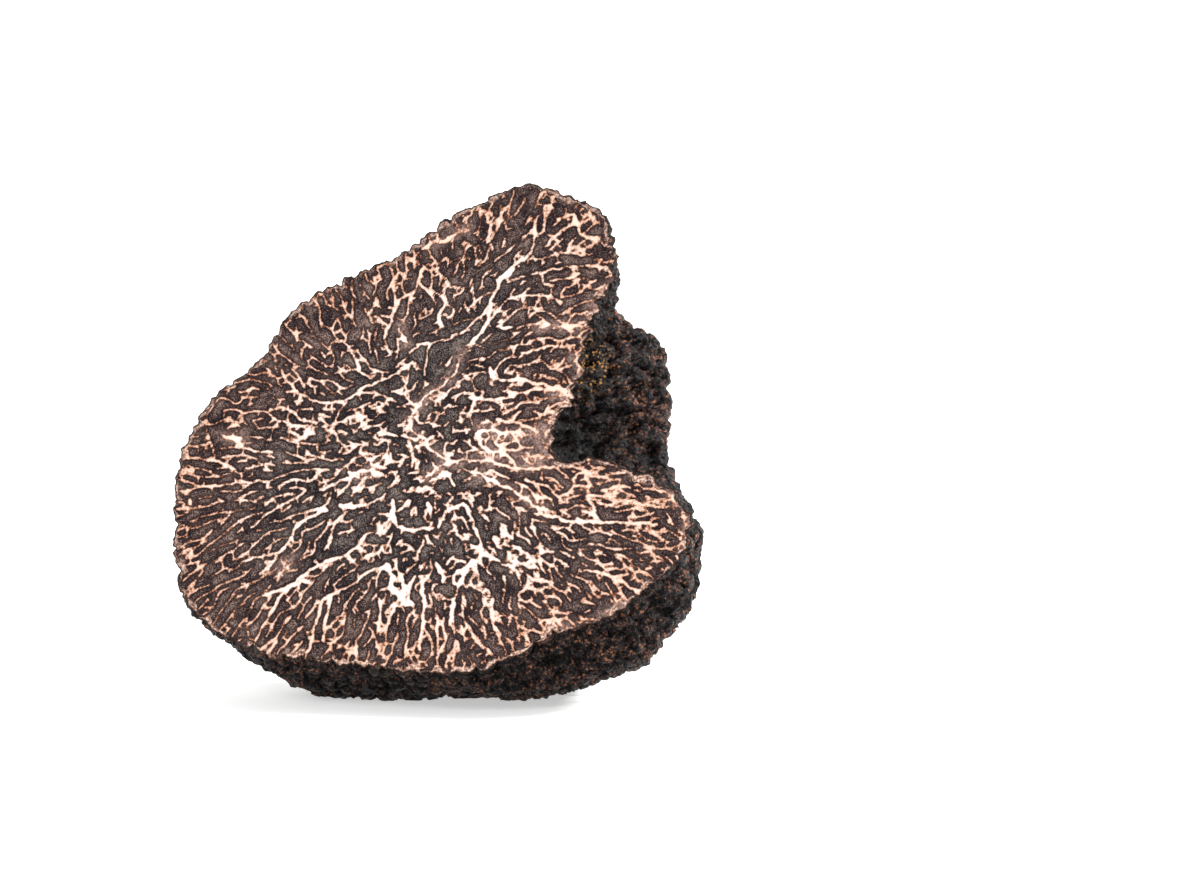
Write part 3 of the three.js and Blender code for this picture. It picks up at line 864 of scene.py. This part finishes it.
# The cut edge is sharp, as the knife left it.
ends = np.empty(len(mesh.edges) * 2, np.int32)
mesh.edges.foreach_get("vertices", ends)
ends = ends.reshape(-1, 2)
rim = np.zeros(len(places), bool)
rim[rind_index[on_edge]] = True
sharp = mesh.attributes.new("sharp_edge", "BOOLEAN", "EDGE")
sharp.data.foreach_set("value", rim[ends].all(axis=1))


def per_point(name, on_rind, on_cut_face):
    """Stores one number per point, given on both grids."""
    values = np.concatenate([on_rind.reshape(-1), on_cut_face[~on_edge]])
    mesh.attributes.new(name, "FLOAT", "POINT").data.foreach_set("value", values.astype(np.float32))


nothing = np.zeros(rho.shape)
per_point("wall", wall.reshape(rho.shape), nothing)
per_point("crumbs", crumbs, nothing)
per_point("cleft_shade", cleft_shade, nothing)
per_point("vein", nothing - 0.8, vein)
per_point("pink", nothing, pink)
per_point("edge_gap", nothing, edge_gap)
per_point("torn", nothing, torn)

half = bpy.data.objects.new("truffle_half_body", mesh)
bpy.context.scene.collection.objects.link(half)
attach(half, "root")
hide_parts("truffle_half")


# Marbled flesh
# Dark, matt and moist tissue with fine grains of spores, browner towards the rind. The veins are
# cream with a thin rust-brown border, and the flesh next to them is blue-black.

# Sizes in millimetres of the spore grains, the finest grain, the patches and the tears at the rim.
SPORE_GRAIN = 0.28
FINE_GRAIN = 0.13
FLESH_PATCH = 2.2
TEAR = 1.7

# Settings that several nodes share.
PLUS = {"operation": "ADD"}
LESS = {"operation": "SUBTRACT"}
TIMES = {"operation": "MULTIPLY"}
TIMES_PLUS = {"operation": "MULTIPLY_ADD"}
SMOOTH = {"interpolation_type": "SMOOTHSTEP"}
COLOURS = {"data_type": "RGBA"}
TINTED = {"data_type": "RGBA", "blend_type": "MULTIPLY"}


def linear(hex_colour):
    """An sRGB hex colour as linear RGBA."""
    parts = [int(hex_colour[k:k + 2], 16) / 255 for k in (1, 3, 5)]
    return tuple(((v + 0.055) / 1.055) ** 2.4 if v > 0.04045 else v / 12.92 for v in parts) + (1.0,)


def add(tree, kind, settings=(), inputs=(), out=0, stops=()):
    """Adds a node with its settings, inputs and a ramp's colour stops, and returns one output.

    Inputs are given by name or in the node's order. Each is a value or another node's output.
    """
    node = tree.nodes.new("ShaderNode" + kind)
    for name, value in dict(settings).items():
        setattr(node, name, value)
    for key, value in inputs.items() if isinstance(inputs, dict) else enumerate(inputs):
        if isinstance(value, bpy.types.NodeSocket):
            tree.links.new(value, node.inputs[key])
        else:
            node.inputs[key].default_value = value
    if stops:
        elements = node.color_ramp.elements
        while len(elements) < len(stops):
            elements.new(0.5)
        for element, (at, hex_colour) in zip(elements, stops):
            element.position = at
            element.color = linear(hex_colour)
    return node.outputs[out]


flesh = bpy.data.materials.new("marbled_truffle_flesh")
flesh.use_nodes = True
mesh.materials.append(flesh)
tree = flesh.node_tree
shader = tree.nodes["Principled BSDF"]
coords = add(tree, "TexCoord", out="Object")
vein_depth, blushing, from_edge, ripped = (add(tree, "Attribute", {"attribute_name": name}, out="Fac")
                                           for name in ("vein", "pink", "edge_gap", "torn"))
fine, finer, patchy, tears = (
    add(tree, "TexNoise", {}, {"Vector": coords, "Scale": 1000 / size, "Detail": detail})
    for size, detail in ((SPORE_GRAIN, 3.0), (FINE_GRAIN, 2.0), (FLESH_PATCH, 3.0), (TEAR, 3.0)))

# The flesh: grained, blue-black beside the veins, and cooler in the middle of the cut.
speckle = add(tree, "Math", TIMES_PLUS, [finer, 0.75, add(tree, "Math", TIMES, [patchy, 0.35])])
tissue = add(tree, "ValToRGB", {}, [speckle], stops=[
    (0.44, "#151013"), (0.50, "#352b2d"), (0.55, "#524240"), (0.61, "#735b53"), (0.68, "#9c857a")])
ragged = add(tree, "Math", TIMES_PLUS, [fine, 0.20, -0.10])
ragged_vein = add(tree, "Math", PLUS, [vein_depth, ragged])
halo = add(tree, "MapRange", SMOOTH, [ragged_vein, -0.44, -0.14, 0.0, 0.72])
shaded = add(tree, "Mix", COLOURS, {0: halo, 6: tissue, 7: linear("#1b151a")}, 2)
inwards = add(tree, "MapRange", SMOOTH, [from_edge, 5.5, 13.0])
cooler = add(tree, "Mix", COLOURS, {0: inwards, 6: linear("#ffffff"), 7: linear("#e9fbff")}, 2)
shaded = add(tree, "Mix", TINTED, {0: 1.0, 6: shaded, 7: cooler}, 2)

# The pinkish streaks, in patches.
rosy = add(tree, "ValToRGB", {}, [fine], stops=[(0.40, "#7a5b50"), (0.50, "#a5837a"), (0.60, "#d2b3a7")])
flush = add(tree, "MapRange", SMOOTH, [patchy, 0.40, 0.60, 0.25, 0.75])
flush = add(tree, "Math", TIMES, [blushing, flush])
flushed = add(tree, "Mix", COLOURS, {0: flush, 6: shaded, 7: rosy}, 2)

# The veins: rust-brown at their border, then cream, and a little warmer near the rind.
into_vein = add(tree, "MapRange", {}, [ragged_vein, -0.08, 0.12])
cream = add(tree, "ValToRGB", {}, [into_vein], stops=[
    (0.0, "#6f3f29"), (0.20, "#b97c5a"), (0.40, "#e0c4b5"), (0.60, "#f5e7dd"), (1.0, "#faf2ec")])
outwards = add(tree, "MapRange", SMOOTH, [from_edge, 9.0, 1.5, 0.0, 0.9])
warmer = add(tree, "Mix", COLOURS, {0: outwards, 6: linear("#ffffff"), 7: linear("#f8e6d9")}, 2)
cream = add(tree, "Mix", TINTED, {0: 1.0, 6: cream, 7: warmer}, 2)
in_vein = add(tree, "MapRange", SMOOTH, [ragged_vein, -0.08, -0.01])
marbled = add(tree, "Mix", COLOURS, {0: in_vein, 6: flushed, 7: cream}, 2)

# The rim: a ragged strip of the rind's pale inner layer, then a line of crust.
strip = add(tree, "Math", TIMES_PLUS, [tears, 3.4, -0.9])
inner = add(tree, "Math", LESS, [from_edge, strip])
inner = add(tree, "Math", PLUS, [inner, add(tree, "Math", TIMES, [fine, 0.6])])
inner = add(tree, "MapRange", SMOOTH, [inner, -0.12, -0.24])
inner = add(tree, "Math", TIMES, [inner, add(tree, "MapRange", SMOOTH, [ripped, 0.0, 1.0, 0.60, 0.95])])
paler = add(tree, "ValToRGB", {}, [fine], stops=[(0.40, "#84604f"), (0.50, "#bf9684"), (0.60, "#e9cfc0")])
rimmed = add(tree, "Mix", COLOURS, {0: inner, 6: marbled, 7: paler}, 2)
crusty = add(tree, "Math", PLUS, [from_edge, add(tree, "Math", TIMES, [finer, 0.3])])
crusty = add(tree, "MapRange", SMOOTH, [crusty, 0.40, 0.24])
rimmed = add(tree, "Mix", COLOURS, {0: crusty, 6: rimmed, 7: linear("#33251f")}, 2)

sheen = add(tree, "MapRange", SMOOTH, [ragged_vein, -0.1, 0.1, 0.62, 0.42])
bump = add(tree, "Bump", {}, {"Strength": 0.6, "Distance": 0.00012, "Height": speckle})
tree.links.new(rimmed, shader.inputs["Base Color"])
tree.links.new(sheen, shader.inputs["Roughness"])
tree.links.new(bump, shader.inputs["Normal"])
shader.inputs["Specular IOR Level"].default_value = 0.04


# Warty rind
# A dry, near-black crust. Tips and ridges are worn to brown and flake, the cracks are painted black
# as shade, and the facets between them throw back a dull grey gleam. The lighter grain of the crust
# and the brown flakes are partly painted highlight.

# Sizes in millimetres of the crust's grain, its grit, its patches, the facets and splits on a
# wart, and the flakes.
CRUST_GRAIN = 0.45
CRUST_GRIT = 0.2
CRUST_PATCH = 4.0
FACET = 0.6
SPLIT = 0.75
FLAKE = 0.42

skin = bpy.data.materials.new("warty_truffle_rind")
skin.use_nodes = True
mesh.materials.append(skin)
tree = skin.node_tree
shader = tree.nodes["Principled BSDF"]
coords = add(tree, "TexCoord", out="Object")
from_crack, dusty, cleft_shade_input = (add(tree, "Attribute", {"attribute_name": name}, out="Fac")
                          for name in ("wall", "crumbs", "cleft_shade"))
rough, fine, patchy = (
    add(tree, "TexNoise", {}, {
        "Vector": coords, "Scale": 1000 / size, "Detail": detail, "Roughness": harsh})
    for size, detail, harsh in ((CRUST_GRAIN, 4.0, 0.65), (CRUST_GRIT, 2.0, 0.5), (CRUST_PATCH, 3.0, 0.5)))
facets, splits, flakes = (
    add(tree, "TexVoronoi", {"feature": feature}, {"Vector": coords, "Scale": 1000 / size})
    for feature, size in (("F1", FACET), ("DISTANCE_TO_EDGE", SPLIT), ("F1", FLAKE)))

# The crust, black to brown: partly its own grain, partly painted highlight, lighter where the grit
# is raised. It is worn brown on the high ground.
crust_tone_and_highlight = add(tree, "Math", TIMES_PLUS, [rough, 0.7, add(tree, "Math", TIMES, [patchy, 0.3])])
crust_and_highlight = add(tree, "ValToRGB", {}, [crust_tone_and_highlight], stops=[
    (0.40, "#030303"), (0.48, "#100e10"), (0.53, "#2a2326"), (0.58, "#463632"), (0.65, "#80604c")])
ridges = add(tree, "MapRange", SMOOTH, [rough, 0.54, 0.66])
high = add(tree, "MapRange", SMOOTH, [from_crack, 0.10, 0.55])
worn_patch = add(tree, "MapRange", SMOOTH, [patchy, 0.38, 0.62, 0.12, 0.95])
worn = add(tree, "Math", TIMES, [add(tree, "Math", TIMES, [ridges, high]), worn_patch])
skin_colour = add(tree, "Mix", COLOURS, {0: worn, 6: crust_and_highlight, 7: linear("#85553a")}, 2)

# Painted shade: black in the cracks between the warts and in finer splits across them.
crack_shade = add(tree, "MapRange", SMOOTH, [from_crack, 0.17, 0.02, 0.0, 0.9])
skin_colour = add(tree, "Mix", COLOURS, {0: crack_shade, 6: skin_colour, 7: linear("#020202")}, 2)
split_shade = add(tree, "MapRange", SMOOTH, [splits, 0.10, 0.02, 0.0, 0.85])
skin_colour = add(tree, "Mix", COLOURS, {0: split_shade, 6: skin_colour, 7: linear("#030202")}, 2)

# Brown flakes, partly real flecks and partly painted glints: spots within the cells of a pattern,
# on those cells whose random value is high.
spot = add(tree, "MapRange", SMOOTH, [flakes, 0.48, 0.34])
spot = add(tree, "Math", TIMES, [spot, add(tree, "MapRange", SMOOTH, [fine, 0.42, 0.50])])
lot = flakes.node.outputs["Color"]
flake_and_glint = add(tree, "MapRange", SMOOTH, [lot, 0.60, 0.66])
flake_and_glint = add(tree, "Math", TIMES, [spot, flake_and_glint])
flake_patch = add(tree, "MapRange", SMOOTH, [patchy, 0.42, 0.60, 0.25, 1.0])
flake_and_glint = add(tree, "Math", TIMES, [flake_and_glint, flake_patch])
skin_colour = add(tree, "Mix", COLOURS, {0: flake_and_glint, 6: skin_colour, 7: linear("#a0684a")}, 2)

# Painted shade in the corner of the cleft, and the golden crumbs in its upper part.
cleft_shade_mix = add(tree, "MapRange", SMOOTH, [cleft_shade_input, 0.1, 0.9, 0.0, 0.85])
skin_colour = add(tree, "Mix", COLOURS, {0: cleft_shade_mix, 6: skin_colour, 7: linear("#020202")}, 2)
golden = add(tree, "MapRange", SMOOTH, [lot, 0.40, 0.46])
golden = add(tree, "Math", TIMES, [spot, golden])
golden = add(tree, "Math", TIMES, [add(tree, "MapRange", SMOOTH, [dusty, 0.15, 0.7]), golden])
skin_colour = add(tree, "Mix", COLOURS, {0: golden, 6: skin_colour, 7: linear("#cf9650")}, 2)

dullness = add(tree, "MapRange", SMOOTH, [rough, 0.38, 0.62, 0.26, 0.5])
crazed = add(tree, "Bump", {"invert": True}, {"Strength": 0.9, "Distance": 0.0005, "Height": facets})
grit = add(tree, "Bump", {}, {"Strength": 1.0, "Distance": 0.0006, "Height": rough, "Normal": crazed})
tree.links.new(skin_colour, shader.inputs["Base Color"])
tree.links.new(dullness, shader.inputs["Roughness"])
tree.links.new(grit, shader.inputs["Normal"])
shader.inputs["Specular IOR Level"].default_value = 0.11


# Backdrop and light
# A sweep of white paper, lit so that it shows no edge. Three soft lamps stand in front, above and
# at the right, and leave only a faint shadow under the half. Lengths here are metres.

PAPER = [(-1.2, 0.0), (0.7, 0.0), (0.78, 0.02), (0.8, 0.1), (0.8, 0.8)]   # y and z in metres
PAPER_SIDE = 1.5
sweep = bpy.data.meshes.new("paper_sweep")
sweep.from_pydata([(x, y, z) for y, z in PAPER for x in (-PAPER_SIDE, PAPER_SIDE)], [],
                  [(2 * k, 2 * k + 1, 2 * k + 3, 2 * k + 2) for k in range(len(PAPER) - 1)])
floor = bpy.data.objects.new("paper_sweep", sweep)
bpy.context.scene.collection.objects.link(floor)
paper = bpy.data.materials.new("lit_white_paper")
paper.use_nodes = True
paper_shader = paper.node_tree.nodes["Principled BSDF"]
paper_shader.inputs["Base Color"].default_value = linear("#f4f4f2")
paper_shader.inputs["Roughness"].default_value = 0.9
paper_shader.inputs["Specular IOR Level"].default_value = 0.0
paper_shader.inputs["Emission Color"].default_value = (1, 1, 1, 1)
paper_shader.inputs["Emission Strength"].default_value = 0.5
sweep.materials.append(paper)

world = bpy.data.worlds.new("white_room")
world.use_nodes = True
world.node_tree.nodes["Background"].inputs["Color"].default_value = (0.96, 0.98, 1, 1)
world.node_tree.nodes["Background"].inputs["Strength"].default_value = 0.55
bpy.context.scene.world = world


def soft_light(name, place, aim, size, power):
    """A square lamp at place, turned to aim."""
    lamp = bpy.data.lights.new(name, "AREA")
    lamp.size = size
    lamp.energy = power
    thing = bpy.data.objects.new(name, lamp)
    thing.location = place
    thing.rotation_euler = (Vector(aim) - Vector(place)).to_track_quat("-Z", "Y").to_euler()
    bpy.context.scene.collection.objects.link(thing)


soft_light("front_lamp", (-0.35, -0.65, 0.45), (0, 0, 0.03), 0.25, 2.2)
soft_light("top_lamp", (0.25, 0.10, 0.60), (0, 0, 0.02), 0.20, 2.6)
soft_light("side_lamp", (0.55, 0.12, 0.30), (0, 0, 0.03), 0.12, 6.0)


# Camera
# A long lens, a little above the table, with the half to the left of its axis. Millimetres, as
# everything here but the paper and the lamps.

VIEW_ANGLE = math.radians(4)
LENS = 100.0
SENSOR = 36.0
DISTANCE = 374.6
TO_RIGHT = 14.6
UPWARDS = 6.97
forward = np.array((0.0, math.cos(VIEW_ANGLE), -math.sin(VIEW_ANGLE)))
camera_right = np.array((1.0, 0.0, 0.0))
camera_up = np.array((0.0, math.sin(VIEW_ANGLE), math.cos(VIEW_ANGLE)))
place = (CENTRE - DISTANCE * forward + TO_RIGHT * camera_right + UPWARDS * camera_up) * 0.001
lens = bpy.data.cameras.new("camera")
lens.lens = LENS
lens.sensor_width = SENSOR
lens.clip_start = 0.01
camera = bpy.data.objects.new("camera", lens)
camera.location = place
camera.rotation_euler = (math.pi / 2 - VIEW_ANGLE, 0.0, 0.0)
bpy.context.scene.collection.objects.link(camera)
bpy.context.scene.camera = camera
bpy.context.scene.view_settings.view_transform = "Standard"
